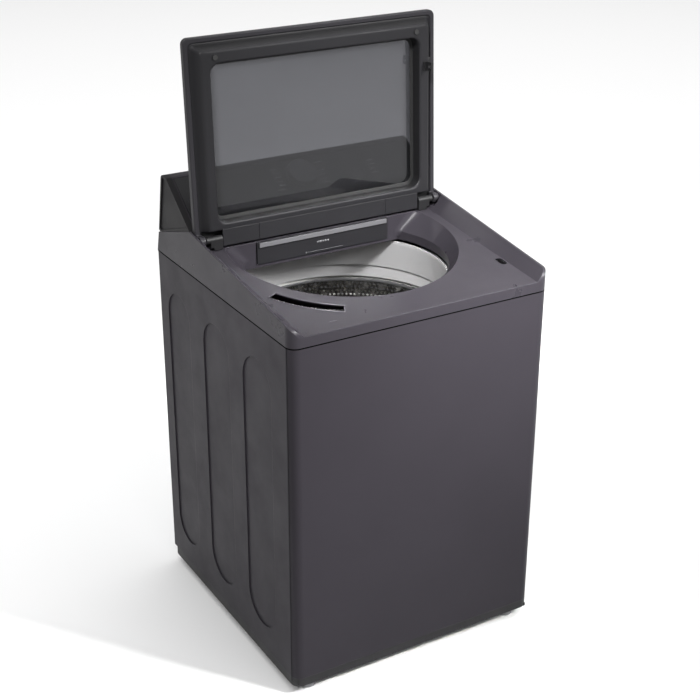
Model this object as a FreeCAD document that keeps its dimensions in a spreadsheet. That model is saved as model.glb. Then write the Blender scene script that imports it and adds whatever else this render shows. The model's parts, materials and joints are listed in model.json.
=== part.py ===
"""Top load washing machine, 686 mm wide, as separate parts with their real joints.

Frame: +Z up from the floor, X to the right, Y to the back, the origin under the middle of the machine.
The lid stands open, which is its rest pose.
"""
import FreeCAD, Part
import math
import os
import Sketcher

VECTOR = FreeCAD.Vector
X_AXIS = VECTOR(1, 0, 0)
Y_AXIS = VECTOR(0, 1, 0)
Z_AXIS = VECTOR(0, 0, 1)

# Driving dimensions in millimetres and degrees. Heights are from the floor.
DIMENSIONS = {
    "half_width": 343,
    "half_depth": 350,
    "foot_height": 25,
    "band_top": 47,
    "cabinet_top": 910,
    "steel": 1.5,
    "wall": 3,
    "corner_radius": 24,
    "gap": 0.3,
    "play": 0.05,
    # top cover
    "deck_front": 936,
    "deck_slope": 5.14,
    "deck_half": 308,
    "rail_half": 337,
    "rail_front": 962,
    "rail_back": 1019,
    "back_wall": 115,
    "back_wall_bottom": 918,
    "opening_radius": 247,
    "opening_rim": 932,
    "trough_back": 150.4,
    "trough_floor": 977,
    # console
    "console_foot": 152,
    "console_foot_height": 1022,
    "console_slope": 37.2,
    "console_length": 157,
    "cap_width": 16,
    "panel_thick": 3,
    # lid, in its own frame: hinge axis at the origin, -Y to the front edge, +Z out
    "hinge_back": 116,
    "hinge_height": 1003,
    "lid_open": 92.9,
    "lid_half": 336.5,
    "lid_length": 472,
    "lid_rim": 14,
    "lid_top": 32,
    "window_half": 281,
    "window_front": 412,
    "window_back": 37,
    "frame_half": 306,
    "pin_radius": 4,
    # drawer
    "drawer_half": 184,
    "drawer_top": 975,
    "drawer_length": 165,
    # tub, basket and drive
    "tub_radius": 281,
    "tub_bottom": 205,
    "tub_top": 870,
    "basket_radius": 262,
    "basket_bottom": 262,
    "basket_top": 752,
    "bearing_radius": 36,
    "tube_radius": 17.5,
    "shaft_radius": 10,
    "rod_x": 262,
    "rod_y": 266,
    "rod_radius": 5,
    "foot_x": 293,
    "foot_y": 312,
    "stud_radius": 6,
    # drain pump
    "pump_x": 150,
    "pump_y": 160,
}


class Size:
    """A number that knows the spreadsheet expression it comes from."""

    def __init__(self, value, text):
        self.value = float(value)
        self.text = text

    def __add__(self, other):
        return join_sizes(self, other, "+", self.value + number(other))

    def __radd__(self, other):
        return size(other) + self

    def __sub__(self, other):
        return join_sizes(self, other, "-", self.value - number(other))

    def __rsub__(self, other):
        return size(other) - self

    def __mul__(self, other):
        return join_sizes(self, other, "*", self.value * number(other))

    def __rmul__(self, other):
        return size(other) * self

    def __truediv__(self, other):
        return join_sizes(self, other, "/", self.value / number(other))

    def __neg__(self):
        return Size(-self.value, f"(0 - {self.text})")

    def tan(self):
        return Size(math.tan(math.radians(self.value)), f"tan({self.text})")

    def cos(self):
        return Size(math.cos(math.radians(self.value)), f"cos({self.text})")

    def sin(self):
        return Size(math.sin(math.radians(self.value)), f"sin({self.text})")


def number(value):
    return value.value if isinstance(value, Size) else float(value)


def size(value):
    return value if isinstance(value, Size) else Size(value, f"({float(value):.6f})")


def join_sizes(left, right, sign, value):
    return Size(value, f"({left.text} {sign} {size(right).text})")


doc = FreeCAD.newDocument("washing_machine")
sheet = doc.addObject("Spreadsheet::Sheet", "dims")
D = {}
for row, (alias, amount) in enumerate(DIMENSIONS.items(), start=1):
    sheet.set(f"A{row}", alias)
    sheet.set(f"B{row}", str(amount))
    sheet.setAlias(f"B{row}", alias)
    D[alias] = Size(amount, f"dims.{alias}")
doc.recompute()

parts = []


# ---------------------------------------------------------------- helpers

def bind(obj, **sizes):
    """Bind an object's properties to expressions of the sheet."""
    for name, value in sizes.items():
        obj.setExpression(name, size(value).text)
    return obj


def place(obj, x=0, y=0, z=0, axis=Z_AXIS, angle=0):
    """Give an object a placement whose numbers follow the sheet."""
    obj.Placement = FreeCAD.Placement(VECTOR(), FreeCAD.Rotation(axis, number(angle)))
    if isinstance(angle, Size):
        obj.setExpression("Placement.Rotation.Angle", angle.text if angle.value > 0 else (-angle).text)
    for letter, value in (("x", x), ("y", y), ("z", z)):
        obj.setExpression(f"Placement.Base.{letter}", size(value).text)
    return obj


def turned(axis, angle):
    """A rotation about an axis, which is reversed for a negative angle so that the angle stays positive."""
    return {"axis": axis * -1 if number(angle) < 0 else axis, "angle": -angle if number(angle) < 0 else angle}


def box(x, y, z):
    """A block from the low to the high end of each of three spans."""
    solid = doc.addObject("Part::Box", "block")
    bind(solid, Length=x[1] - size(x[0]), Width=y[1] - size(y[0]), Height=z[1] - size(z[0]))
    return place(solid, x[0], y[0], z[0])


def cylinder(radius, x, y, z, length, along="Z", **more):
    """A cylinder that starts at a point and runs along a row axis."""
    solid = doc.addObject("Part::Cylinder", "round")
    bind(solid, Radius=radius, Height=length, **more)
    axis, angle = {"X": (Y_AXIS, 90), "Y": (X_AXIS, -90), "Z": (Z_AXIS, 0)}[along]
    return place(solid, x, y, z, axis, angle)


def cone(bottom_radius, top_radius, x, y, z, height):
    solid = doc.addObject("Part::Cone", "taper")
    bind(solid, Radius1=bottom_radius, Radius2=top_radius, Height=height)
    return place(solid, x, y, z)


def tube(outer, inner, x, y, z, length, along="Z"):
    return cut(cylinder(outer, x, y, z, length, along), cylinder(inner, x, y, z, length, along))


def fuse(*solids):
    if len(solids) == 1:
        return solids[0]
    joined = doc.addObject("Part::MultiFuse", "union")
    joined.Shapes = list(solids)
    joined.Refine = True
    return joined


def common(*solids):
    shared = doc.addObject("Part::MultiCommon", "overlap")
    shared.Shapes = list(solids)
    return shared


def cut(base, *tools):
    rest = doc.addObject("Part::Cut", "cut")
    rest.Base = base
    rest.Tool = fuse(*tools)
    return rest


def group(*solids):
    """Separate solids kept together as one part."""
    together = doc.addObject("Part::Compound", "set")
    together.Links = list(solids)
    return together


def mirrored_x(solid):
    other = doc.addObject("Part::Mirroring", "mirror")
    other.Source = solid
    other.Normal = X_AXIS
    return other


def sketch_on(body, role, points):
    """A closed outline of straight lines on a plane of the body, each corner bound to the sheet."""
    sketch = body.newObject("Sketcher::SketchObject", "outline")
    plane = [f for f in body.Origin.OriginFeatures if f.Role == role][0]
    sketch.AttachmentSupport = [(plane, "")]
    sketch.MapMode = "FlatFace"
    corners = [VECTOR(number(a), number(b), 0) for a, b in points]
    count = len(corners)
    sketch.addGeometry([Part.LineSegment(corners[i], corners[(i + 1) % count]) for i in range(count)], False)
    sketch.addConstraint([Sketcher.Constraint("Coincident", i, 2, (i + 1) % count, 1) for i in range(count)])
    for i, point in enumerate(points):
        for kind, value in zip(("DistanceX", "DistanceY"), point):
            constraint = sketch.addConstraint(Sketcher.Constraint(kind, -1, 1, i, 1, number(value)))
            sketch.setExpression(f"Constraints[{constraint}]", size(value).text)
    return sketch


def padded(role, points, length, rounding=0, edges=None):
    """An outline padded along its plane's normal, with the chosen edges rounded."""
    body = doc.addObject("PartDesign::Body", "body")
    pad = body.newObject("PartDesign::Pad", "pad")
    pad.Profile = sketch_on(body, role, points)
    bind(pad, Length=length)
    if edges:
        doc.recompute()
        names = [f"Edge{i}" for i, edge in enumerate(pad.Shape.Edges, start=1) if edges(edge)]
        fillet = body.newObject("PartDesign::Fillet", "rounding")
        fillet.Base = (pad, names)
        bind(fillet, Radius=rounding)
    return body


def revolved(points):
    """A ring or disc about the Z axis, from points of radius and height."""
    body = doc.addObject("PartDesign::Body", "body")
    turn = body.newObject("PartDesign::Revolution", "turn")
    turn.Profile = sketch_on(body, "XZ_Plane", points)
    turn.ReferenceAxis = (turn.Profile[0], ["V_Axis"])
    turn.Angle = 360
    return body


def side_profile(points, x_low, x_high, rounding=0, edges=None):
    """A side view outline of (y, z) points that runs across X."""
    return place(padded("YZ_Plane", points, x_high - size(x_low), rounding, edges), x=x_low)


def rounded_plate(x, y, z, radius, which=lambda point: True):
    """A plate in plan, with the upright edges at the chosen corners rounded."""
    points = [(x[0], y[0]), (x[1], y[0]), (x[1], y[1]), (x[0], y[1])]

    def chosen(edge):
        return abs(edge.tangentAt(edge.FirstParameter).z) > 0.99 and which(edge.Vertexes[0].Point)

    return place(padded("XY_Plane", points, z[1] - size(z[0]), radius, chosen), z=z[0])


def slot_plate(half_length, radius, thickness):
    """A plate with round ends, along X, lying on the XY plane."""
    return fuse(
        box((-half_length, half_length), (-radius, radius), (0, thickness)),
        cylinder(radius, -half_length, 0, 0, thickness),
        cylinder(radius, half_length, 0, 0, thickness))


def turned_about_z(solid, x, y, z, angle):
    """A solid made at the origin, turned about Z and then moved to its place."""
    return place(group(solid), x, y, z, Z_AXIS, angle)


def keep(name, solid):
    """Record a finished part under its name."""
    solid.Label = name
    parts.append(solid)
    return solid


def at_lid(solid):
    """Carry a solid from the lid's own frame to its place on the open lid."""
    holder = group(solid)
    return place(holder, 0, D["hinge_back"], D["hinge_height"], **turned(X_AXIS, -D["lid_open"]))


def at_console(solid):
    """Carry a solid from the console face's frame (Y up the slope, Z out of it) to the console."""
    holder = group(solid)
    return place(holder, 0, D["console_foot"], D["console_foot_height"], X_AXIS, D["console_slope"])


CORNERS = {"front_left": (-1, -1), "front_right": (1, -1), "back_left": (-1, 1), "back_right": (1, 1)}


# ---------------------------------------------------------------- base and cabinet

def make_base():
    """The dark ring that the cabinet stands on, with a pad for each foot and a shelf for the pump."""
    low, high = D["foot_height"], D["band_top"]
    rim = 14
    outer = rounded_plate((-D["half_width"], D["half_width"]), (-D["half_depth"], D["half_depth"]), (low, high),
                          D["corner_radius"])
    inner = box((-D["half_width"] + rim, D["half_width"] - rim), (-D["half_depth"] + rim, D["half_depth"] - rim),
                (low - 1, high + 1))
    solids = [cut(outer, inner)]
    pad_half = 42
    for side, end in CORNERS.values():
        x, y = side * D["foot_x"], end * D["foot_y"]
        solids.append(box((x - pad_half, x + pad_half), (y - pad_half, y + pad_half), (low, low + 8)))
    pad_area = box((-D["half_width"] + 2, D["half_width"] - 2), (-D["half_depth"] + 2, D["half_depth"] - 2),
                   (low, high))
    shelf = box(
        (D["pump_x"] - 50, D["half_width"] - rim), (D["pump_y"] - 50, D["pump_y"] + 50), (low + 9, low + 13))
    bores = [cylinder(D["stud_radius"] + D["play"], side * D["foot_x"], end * D["foot_y"], low - 1, 12)
             for side, end in CORNERS.values()]
    keep("base_frame", cut(fuse(common(fuse(*solids), pad_area), solids[0], shelf), *bores))


def make_feet():
    """Four levelling feet: a rubber disc on a threaded stud."""
    for corner, (side, end) in CORNERS.items():
        x, y = side * D["foot_x"], end * D["foot_y"]
        keep(f"levelling_foot_{corner}", fuse(
            cylinder(21, x, y, 0, 9),
            cone(21, 12, x, y, 9, 6),
            cylinder(10, x, y, 15, 9),
            cylinder(D["stud_radius"], x, y, 24, 46)))
    nuts = [tube(10, D["stud_radius"] + D["play"], side * D["foot_x"], end * D["foot_y"], D["foot_height"] + 8, 9)
            for side, end in CORNERS.values()]
    keep("foot_lock_nuts", group(*nuts))


def side_embossing(y_low, y_high, depth, reach):
    """One tall pressed panel with round ends in a cabinet side, from the outer face inwards."""
    radius = (y_high - y_low) / 2 + reach
    middle = (y_high + y_low) / 2
    low, high = 112 + (y_high - y_low) / 2, 827 - (y_high - y_low) / 2
    x = D["half_width"] - depth
    return fuse(
        box((x, D["half_width"] + 1), (middle - radius, middle + radius), (low, high)),
        cylinder(radius, x, middle, low, depth + 1, "X"),
        cylinder(radius, x, middle, high, depth + 1, "X"))


def make_cabinet():
    """The steel wrap: front and two sides in one sheet, with three pressed panels in each side."""
    half, depth, sheet_metal = D["half_width"], D["half_depth"], D["steel"]
    bottom, top = D["band_top"], D["cabinet_top"]
    back = depth - 3.5

    def at_front(point):
        return point.y < 0

    outer = rounded_plate((-half, half), (-depth, back), (bottom, top), D["corner_radius"], at_front)
    inner = rounded_plate((-half + sheet_metal, half - sheet_metal), (-depth + sheet_metal, back + 1),
                          (bottom - 1, top + 1), D["corner_radius"] - sheet_metal, at_front)
    flange = box((half - 26, half - sheet_metal), (back - sheet_metal, back), (bottom, top))
    press = 3
    hollows, backs = [], []
    for y_low, y_high in ((-255, -115), (-43, 96), (175, 300)):
        outside = side_embossing(y_low, y_high, press, 0)
        backing = cut(side_embossing(y_low, y_high, press + sheet_metal, sheet_metal),
                      box((half, half + 5), (-depth, depth), (0, top)))
        hollows += [outside, mirrored_x(outside)]
        backs += [backing, mirrored_x(backing)]
    shell = fuse(cut(outer, inner), flange, mirrored_x(flange), *backs)
    keep("cabinet", cut(shell, *hollows))


def make_rear_panel():
    """The flat back sheet, with a pressed recess for the drain port and a hole for the cord gland."""
    y = D["half_depth"] - 3.5
    thick = 1.2
    sheet_area = box((-338, 338), (y, y + thick), (62, 904))
    recess = box((160, 260), (y - 30, y + thick + 1), (770, 870))
    tray = box((160 - thick, 260 + thick), (y - 30 - thick, y + thick), (770 - thick, 870 + thick))
    port = cylinder(14.2, 210, y - 40, 820, 30, "Y")
    gland = cylinder(12.2, -250, y - 10, 860, 20, "Y")
    keep("rear_panel", cut(fuse(sheet_area, tray), recess, port, gland))
    heads = []
    for z in (120, 380, 640, 880):
        for side in (-1, 1):
            heads.append(cylinder(4.5, side * 331, y + thick, z, 2, "Y"))
    keep("cabinet_screws", group(*heads))
    keep("cord_gland", cut(
        fuse(cylinder(12, -250, y - 12, 860, 14.5, "Y"), cylinder(16, -250, y + thick, 860, 1.8, "Y")),
        cylinder(4.5, -250, y - 13, 860, 20, "Y")))
    keep("drain_port", cut(
        fuse(cylinder(14, 210, y - 50, 820, 48, "Y"),
             cylinder(22, 210, y - 29.8, 820, 3, "Y"),
             cylinder(15, 210, y - 50, 772, 64)),
        cylinder(10.5, 210, y - 45, 820, 60, "Y"),
        cylinder(10.5, 210, y - 50, 760, 60)))


# ---------------------------------------------------------------- top cover

def deck_height(y):
    return D["deck_front"] + (y + D["half_depth"]) * D["deck_slope"].tan()


def rail_height(y):
    slope = (D["rail_back"] - D["rail_front"]) / 465
    return D["rail_front"] + (y + 320) * slope


def recess_section(y, grow):
    """The recess's outline across the machine at one depth: narrow on the deck, wide at the rail tops."""
    sketch = doc.addObject("Sketcher::SketchObject", "section")
    above = 60
    spread = (D["rail_half"] - D["deck_half"]) / (rail_height(y) - deck_height(y))
    low = deck_height(y) - grow
    high = rail_height(y) + above
    foot = D["deck_half"] + grow * 1.4 - grow * spread
    top = D["rail_half"] + grow * 1.4 + above * spread
    points = [(-foot, low), (foot, low), (top, high), (-top, high)]
    corners = [VECTOR(number(a), number(b), 0) for a, b in points]
    sketch.addGeometry([Part.LineSegment(corners[i], corners[(i + 1) % 4]) for i in range(4)], False)
    sketch.addConstraint([Sketcher.Constraint("Coincident", i, 2, (i + 1) % 4, 1) for i in range(4)])
    for i, point in enumerate(points):
        for kind, value in zip(("DistanceX", "DistanceY"), point):
            constraint = sketch.addConstraint(Sketcher.Constraint(kind, -1, 1, i, 1, number(value)))
            sketch.setExpression(f"Constraints[{constraint}]", size(value).text)
    return place(sketch, 0, y, 0, X_AXIS, 90)


def recess(grow):
    """All the space above the top cover's skin, grown by a wall thickness for the underside."""
    back = D["back_wall"] + grow
    loft = doc.addObject("Part::Loft", "recess")
    loft.Sections = [recess_section(size(-D["half_depth"] - 10), grow), recess_section(D["back_wall"] + 3, grow)]
    loft.Solid = True
    loft.Ruled = True
    rim = D["opening_rim"] - grow
    radius = D["opening_radius"] + grow
    dish = common(
        fuse(cone(radius, radius + 90, 0, 0, rim, 90), cylinder(radius, 0, 0, D["cabinet_top"] - 40, 70)),
        box((-400, 400), (-400, back), (800, 1100)))
    trough = box((-300 - grow, 300 + grow), (back, D["trough_back"] + grow), (D["trough_floor"] - grow, 1100))
    legs = box((-338 - grow, 338 + grow), (98 - grow, D["trough_back"] + grow), (985 - grow, 1100))
    return fuse(loft, dish, trough, legs)


def cover_outline(inset):
    """The top cover's side view, from the front band over the rails to the leaning back."""
    front = -D["half_depth"] + inset
    low = D["cabinet_top"] - (0 if number(inset) == 0 else 20)
    back_top = rail_height(D["console_foot"]) - inset
    return [
        (front, low), (front, rail_height(front) - inset),
        (D["console_foot"], back_top), (329 - inset, 964 - inset),
        (337 - inset, 962 - inset), (D["half_depth"] - inset, low)]


def front_corner(point):
    return point.y < 0


def front_top_edge(edge):
    point = edge.Vertexes[0].Point
    return (abs(edge.tangentAt(edge.FirstParameter).x) > 0.99 and point.y < -300 and point.z > 940)


def sector(radius, low, height, start, sweep):
    """A slice of a disc about the Z axis, from a start angle through a sweep, in degrees."""
    solid = doc.addObject("Part::Cylinder", "sector")
    bind(solid, Radius=radius, Height=height, Angle=sweep)
    return place(solid, 0, 0, low, Z_AXIS, start)


def bleach_slot(inner, outer, low, height):
    """A curved slot that follows the tub opening at its front left."""
    return cut(sector(outer, low, height, 208, 31), cylinder(inner, 0, 0, low - 1, height + 2))


def make_top_cover():
    """The moulded cover: sloping deck, side rails, dished tub opening, drawer wall and hinge trough."""
    half = D["half_width"]
    wall = D["wall"]
    corner = D["corner_radius"]
    outer = common(
        side_profile(cover_outline(size(0)), -half, half, 30, front_top_edge),
        rounded_plate((-half, half), (-D["half_depth"], D["half_depth"]), (900, 1040), corner, front_corner))
    inside = common(
        side_profile(cover_outline(wall), -half + wall, half - wall, 27, front_top_edge),
        rounded_plate((-half + wall, half - wall), (-D["half_depth"] + wall, D["half_depth"]), (880, 1040),
                      corner - wall, front_corner))
    skin = cut(cut(outer, recess(size(0))), cut(inside, recess(wall)))
    drawer_hole = box((-D["drawer_half"] - 1, D["drawer_half"] + 1), (100, D["back_wall"] + 6),
                      (D["back_wall_bottom"] + 0.5, D["drawer_top"] + 0.7))
    lock_slot = place(slot_plate(9, 9, 40), 297, -221, 925, Z_AXIS, 90)
    hose_hole = cylinder(11, -160, 275, 950, 60)
    keep("top_cover", cut(skin, drawer_hole, bleach_slot(306, 336, 925, 60), lock_slot, hose_hole))
    cup_inside = common(bleach_slot(303, 339, 896, 40), sector(345, 890, 80, 209, 29))
    keep("bleach_cup", cut(bleach_slot(300, 342, 893, 38), cup_inside,
                           cylinder(7, -227, -227, 880, 30)))


# ---------------------------------------------------------------- console

def console_outline(inset):
    """The console's side view: sloping face, rounded crest and leaning back."""
    foot_y, foot_z = D["console_foot"], D["console_foot_height"]
    crest_y = foot_y + D["console_length"] * D["console_slope"].cos()
    crest_z = foot_z + D["console_length"] * D["console_slope"].sin()
    return [
        (foot_y + inset * 2, rail_height(foot_y) + inset), (crest_y, crest_z - inset * 1.3),
        (crest_y + 30 - inset, crest_z + 3 - inset),
        (337 - inset, 968 + inset), (329 - inset, 965 + inset)]


def console_crest(edge):
    point = edge.Vertexes[0].Point
    return abs(edge.tangentAt(edge.FirstParameter).x) > 0.99 and point.z > 1080


def make_console():
    half = D["half_width"] - D["cap_width"]
    wall = D["wall"]
    whole = side_profile(console_outline(size(0)), -half, half, 14, console_crest)
    hollow = side_profile(console_outline(wall), -half + 1.5, half - 1.5, 11, console_crest)
    face = at_console(box((-half + 3, half - 3), (7, 152), (-8, 20)))
    valves = [cylinder(17, x, 290, 1035, 60, "Y") for x in (-240, -190)]
    hose = cylinder(11, -160, 275, 950, 60)
    keep("console_housing", cut(whole, hollow, face, hose, *valves))
    cap_body = side_profile(console_outline(size(0)), half, D["half_width"] - 1, 14, console_crest)
    cap_inside = side_profile(console_outline(wall * 2), half + 3, D["half_width"] + 5, 8, console_crest)
    cap = cut(cap_body, cap_inside)
    dish = side_profile(console_outline(wall * 2), half + 3, D["half_width"] - 4, 8, console_crest)
    right_cap = fuse(cap, dish)
    keep("console_cap_right", right_cap)
    keep("console_cap_left", mirrored_x(right_cap))


def make_controls():
    """The black face plate with its knob, two buttons, display lens and circuit board."""
    half = D["half_width"] - D["cap_width"]
    thick = D["panel_thick"]
    knob_up, key_up, key_radius = 98, 80, 9
    plate = box((-half + 3.3, half - 3.3), (7.3, 151.7), (-thick, 0))
    keep("console_panel", at_console(cut(
        plate,
        cylinder(6.3, 0, knob_up, -10, 20),
        cylinder(key_radius + D["gap"], -110, key_up, -10, 20),
        cylinder(key_radius + D["gap"], 155, key_up, -10, 20),
        box((60, 120), (62, 92), (-10, 10)))))
    keep("display_window", at_console(box((60, 120), (62, 92), (-thick, 0))))
    keep("control_board", at_console(box((-165, 190), (20, 140), (-24, -22))))
    keep("control_knob", at_console(fuse(
        cylinder(38, 0, knob_up, 0.8, 18), cone(38, 35, 0, knob_up, 18.8, 4),
        cylinder(6.25, 0, knob_up, -20, 22))))
    keep("knob_ring", at_console(cut(
        cylinder(40, 0, knob_up, 2, 5), cylinder(38, 0, knob_up, 0, 10))))
    for name, x in (("power_button", -110), ("start_button", 155)):
        keep(name, at_console(fuse(
            cylinder(key_radius, x, key_up, -5, 6.5),
            cylinder(key_radius + 2, x, key_up, -8, 3),
            cylinder(3, x, key_up, -18, 11))))


def make_water_parts():
    """Inlet valves in the console's back, the hose to the drawer housing and the level sensor."""
    for name, x in (("inlet_valve_cold", -240), ("inlet_valve_hot", -190)):
        block = box((x - 20, x + 20), (262, 300), (1018, 1052))
        if x == -190:
            block = fuse(block, box((x + 20, x + 40), (266, 284), (1018, 1034)))
        keep(name, cut(
            fuse(block, cylinder(12, x, 300, 1035, 46, "Y"), cylinder(13.2, x, 324, 1035, 22, "Y"),
             cylinder(13, x, 275, 1052, 26)),
            cylinder(9, x, 310, 1035, 60, "Y")))
    keep("inlet_hose", tube(9, 6, -160, 275, 971.2, 46.6))
    keep("pressure_sensor", fuse(cylinder(20, 235, 265, 1015, 18), cylinder(3, 235, 265, 1000, 15)))


# ---------------------------------------------------------------- drawer, lock and hinge mounts

def make_drawer():
    half, top = D["drawer_half"], D["drawer_top"]
    front, back = D["back_wall"] + 3.3, D["back_wall"] + 3.3 + D["drawer_length"]
    low = D["back_wall_bottom"]
    keep("detergent_housing", cut(
        box((-half - 5, half + 5), (front, back + 8), (low - 3, 971)),
        box((-half - 2, half + 2), (front - 1, back + 5), (low - 0.5, 968.5)),
        cylinder(5, -160, 275, 960, 20), cylinder(12, 0, 270, 900, 20)))
    tray = box((-half + 2, half - 2), (front, back), (low + 2, 962))
    cups = [box((-half + 4.5, -8), (front + 2.5, back - 2.5), (low + 4.5, 970)),
            box((8, half - 4.5), (front + 2.5, back - 2.5), (low + 4.5, 970))]
    face = box((-half, half), (D["back_wall"] - 4, front), (low + 1.5, top))
    keep("detergent_drawer", fuse(cut(tray, *cups), face))
    keep("drawer_handle", box((-179, 179), (D["back_wall"] - 8, D["back_wall"] - 4), (963, 974)))


def make_lid_lock():
    """Lock housing under the deck at the right, and the bolt that slides across its slot."""
    x, y = 297, -221
    bolt_y, bolt_z = -220, 934
    keep("lid_lock_housing", cut(
        box((x - 12, x + 38), (y - 22, y + 22), (900, 942.5)),
        box((x - 8, x + 8), (y - 18, y + 18), (903, 945)),
        box((x + 7, x + 36), (bolt_y - 2.6, bolt_y + 2.6), (bolt_z - 3.4, bolt_z + 3.4))))
    keep("lid_lock_bolt", box((x + 9.5, x + 35.4), (bolt_y - 2.2, bolt_y + 2.2), (bolt_z - 3, bolt_z + 3)))


def make_hinge_mounts():
    """The two hinge blocks that stand on the cover and hold the lid's pins."""
    y, z = D["hinge_back"], D["hinge_height"]
    right = cut(
        fuse(cylinder(9, 276, y, z, 41, "X"), box((276, 307), (y - 9, y + 9), (986, z)),
             box((276, 299), (y - 9, y + 9), (D["trough_floor"] + 2, z)),
             box((276, 299), (y + 3, y + 9), (D["trough_floor"], z))),
        cylinder(D["pin_radius"], 300, y, z, 20, "X"))
    keep("hinge_mount_right", right)
    keep("hinge_mount_left", mirrored_x(right))


# ---------------------------------------------------------------- lid

def make_lid():
    half, length = D["lid_half"], D["lid_length"]
    rim, top = D["lid_rim"], D["lid_top"]
    window, front, back = D["window_half"], D["window_front"], D["window_back"]
    wall = D["wall"]
    reach = 14

    def plan(inset, low, high):
        return rounded_plate((-half + inset, half - inset), (-length + inset, reach - inset), (low, high),
                             26 - inset if inset < 20 else 6, front_corner)

    rounded_back = side_profile(
        [(-length - 5, rim - 30), (reach, rim - 30), (reach, top), (-length - 5, top)], -400, 400, 14,
        lambda edge: edge.Vertexes[0].Point.z > number(top) - 1 and edge.Vertexes[0].Point.y > 0
        and abs(edge.tangentAt(edge.FirstParameter).x) > 0.99)
    pan = cut(plan(0, rim, top), plan(2.5, rim + 2.5, top - 2.5), plan(11, rim - 1, rim + 5))
    glass_hole = box((-window - 5, window + 5), (-front - 6, -back + 4), (rim + 5, top + 2))
    notch = box((-319, 319), (-24, 30), (rim - 5, rim + 10))
    leg = fuse(cylinder(12, 320, 0, 0, 14, "X"), box((320, 334), (-12, 12), (0, rim + 4)))
    legs = [leg, mirrored_x(leg)]
    pin_hole = cylinder(D["pin_radius"], -340, 0, 0, 680, "X")
    keep("lid_outer_shell", at_lid(cut(
        fuse(common(cut(pan, glass_hole, notch), rounded_back), *legs), pin_hole)))
    keep("lid_glass", at_lid(box((-window - 4.7, window + 4.7), (-front - 5.7, -back + 3.7), (top - 4, top))))

    frame = D["frame_half"]
    face = [(-443, -8.5), (-20, -4), (-17, rim + 2.8), (-458, rim + 2.8)]
    face_inside = [(-440, -5.5), (-23, -1), (-20, rim + 5), (-455, rim + 5)]
    ring = rounded_plate((-frame, frame), (-460, 0), (-12, 30), 22, front_corner)
    ring_inside = rounded_plate((-frame + wall, frame - wall), (-460 + 3, 0), (-12, 30), 19, front_corner)
    block = common(side_profile(face, -frame, frame), ring)
    hollow = common(side_profile(face_inside, -frame + wall, frame - wall), ring_inside)
    well = rounded_plate((-window, window), (-front, -back), (-20, top - 6), 25)
    well_wall = rounded_plate((-window - 2.5, window + 2.5), (-front - 2.5, -back + 2.5), (-3, top - 6), 27.5)
    flange = rounded_plate((-half + 4, half - 4), (-length + 4, -26), (rim + 2.8, rim + 5), 22, front_corner)
    flange_window = rounded_plate((-window - 9, window + 9), (-front - 9, -back + 9), (rim, rim + 9), 30)
    flange = cut(flange, flange_window)
    apron = fuse(box((-273.5, 273.5), (-22, 19), (-4, -1)), box((-273.5, 273.5), (-24, -20), (-4, rim)))
    notch_left = box((273.5, 320), (-20, 30), (-20, rim + 10))
    shell = cut(fuse(cut(block, hollow), well_wall, flange, apron), well, notch_left, mirrored_x(notch_left))
    keep("lid_inner_frame", at_lid(shell))
    seal = rounded_plate((-window - 2, window + 2), (-front - 2, -back + 2), (top - 6, top - 4), 27)
    keep("lid_glass_seal", at_lid(cut(
        seal, rounded_plate((-window + 8, window - 8), (-front + 8, -back - 8), (top - 8, top), 18))))
    pins = [cylinder(D["pin_radius"] - D["play"], x, 0, 0, 33, "X") for x in (301, -334)]
    keep("lid_hinge_pins", at_lid(group(*pins)))
    bumpers = [cylinder(6, x, -427, -11.6, 3) for x in (-269.5, 269.5)]
    keep("lid_bumpers", at_lid(group(*bumpers)))
    hook_window = box((290, 305), (-346.4, -338.6), (-34.2, -23.2))
    hook = cut(box((294.5, 299.5), (-353, -332), (-37, -9)), hook_window)
    keep("lid_strike", at_lid(fuse(hook, box((290, 304), (-354, -331), (-9.8, -7.8)))))


# ---------------------------------------------------------------- tub, basket and drive

def make_tub():
    radius, low, top = D["tub_radius"], D["tub_bottom"], D["tub_top"]
    bore = D["bearing_radius"]
    vessel = revolved([
        (bore, 128), (bore + 20, 128), (bore + 20, low), (radius, low), (radius, top), (292, top), (292, top + 6),
        (radius - 4, top + 6), (radius - 4, low + 6), (bore + 20, low + 6), (bore + 16, 222), (bore, 222)])
    ears, holes = [], []
    for side, end in CORNERS.values():
        turn = math.degrees(math.atan2(end * number(D["rod_y"]), side * number(D["rod_x"]))) % 360
        ears.append(turned_about_z(box((280, 390), (-18, 18), (0, 12)), 0, 0, 300, turn))
        holes.append(cylinder(D["rod_radius"] + 3, side * D["rod_x"], end * D["rod_y"], 290, 40))
    inside = cylinder(radius - 2, 0, 0, 290, 40)
    sump = (D["pump_x"], D["pump_y"])
    spigot = cylinder(16, *sump, 190, 18)
    body = fuse(vessel, cut(fuse(*ears), inside), spigot)
    keep("outer_tub", cut(body, *holes, cylinder(12, *sump, 180, 60)))
    keep("tub_ring", revolved([
        (243, 903), (248, 903), (266, 882), (292, 882), (292, top + 6.3), (264, top + 6.3),
        (268, 826), (270, 787), (265.5, 787), (264, 822), (257, 822), (243, 896)]))
    bearings = [tube(bore - 0.01, D["tube_radius"] + D["play"], 0, 0, z, 17) for z in (130, 188)]
    keep("tub_bearings", group(*bearings))
    keep("tub_shaft_seal", tube(bore - 0.01, D["tube_radius"] + D["play"], 0, 0, 207, 10))
    blocks = [turned_about_z(box((66, 124), (-7, 7), (0, 30)), 0, 0, 96, step * 20) for step in range(18)]
    keep("motor_stator", fuse(tube(72, 48, 0, 0, 96, 31.7), *blocks))


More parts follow.
